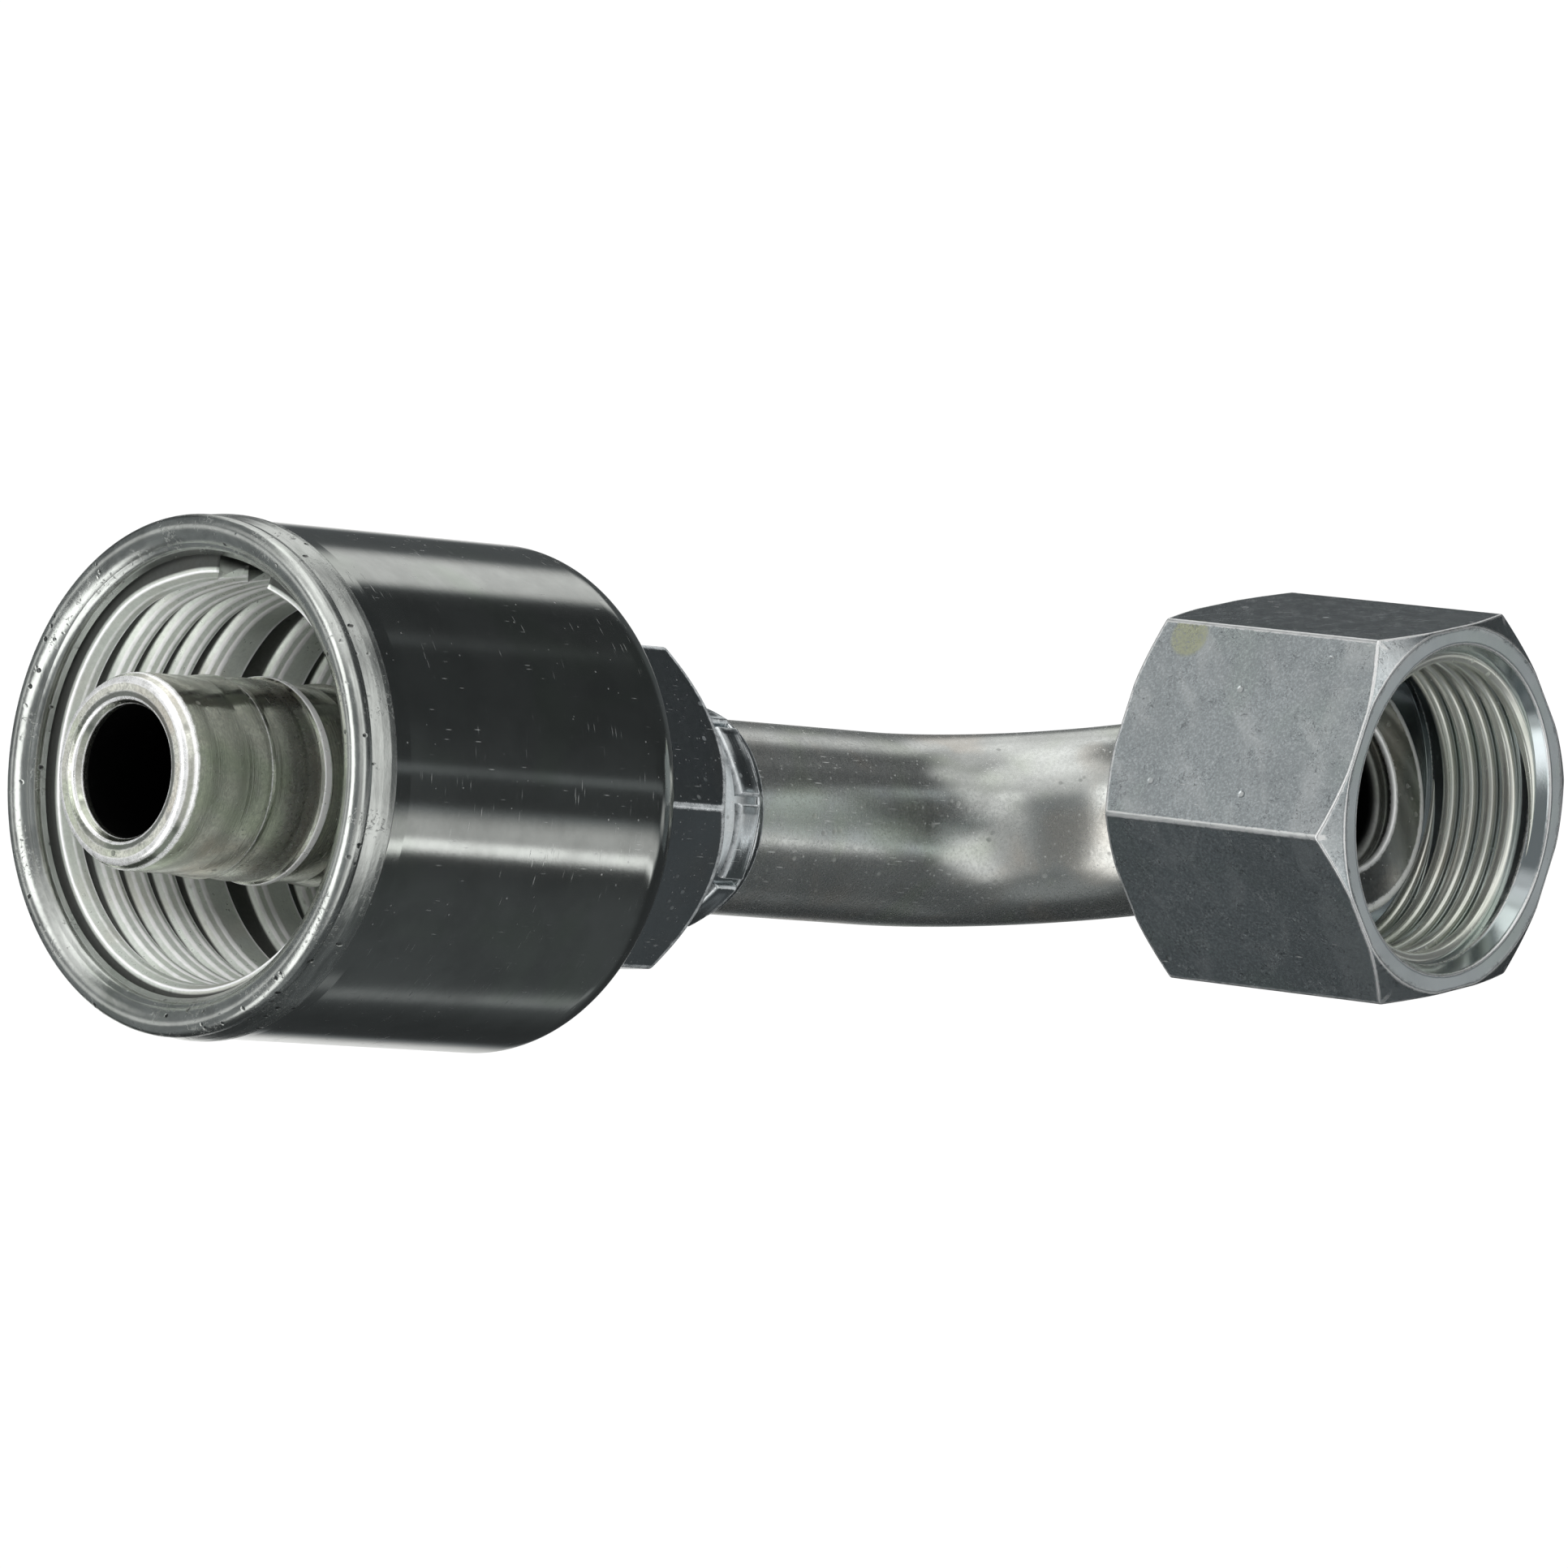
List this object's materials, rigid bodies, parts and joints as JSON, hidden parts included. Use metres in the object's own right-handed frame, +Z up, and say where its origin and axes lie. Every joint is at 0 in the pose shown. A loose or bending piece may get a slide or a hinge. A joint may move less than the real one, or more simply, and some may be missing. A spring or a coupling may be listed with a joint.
{
  "type": "hydraulic hose fitting",
  "caption": "Bent hydraulic hose end: crimp ferrule with a toothed grip insert, barbed stem, elbow tube and a loose swivel nut over a flat-faced sleeve.",
  "frame": {"origin": "on the hose axis, in the plane of the ferrule mouth", "axes": "+X the way the hose leaves the fitting, +Y the way the tube end and its seal face point, +Z up, square to the plane of the bend"},
  "size_m": [0.098, 0.0546, 0.033],
  "materials": {
    "ferrule": "zinc plated steel, turned, glossy with fine scratches",
    "grip_insert": "bright zinc plated steel",
    "hose_stem": "zinc plated steel, turned",
    "tube_seal": "smooth black rubber",
    "elbow_tube": "zinc plated steel, satin",
    "seat_sleeve": "zinc plated steel, dull grey",
    "braze_ring": "brazing metal under plating",
    "swivel_nut": "zinc plated steel, mottled with scuffs and bright worn edges"
  },
  "bodies": {
    "coupling": {"ferrule": "ferrule", "grip_insert": "grip_insert", "hose_stem": "hose_stem", "tube_seal": "tube_seal", "elbow_tube": "elbow_tube", "seat_sleeve": "seat_sleeve", "braze_ring": "braze_ring"},
    "nut": {"swivel_nut": "swivel_nut"}
  },
  "joints": [
    {"name": "nut_swivel", "type": "hinge", "parent": "coupling", "child": "nut", "pos_m": [-0.07776, 0.01664, 0.00155], "axis": [-0.1136, 0.9669, -0.2284], "continuous": true}
  ]
}
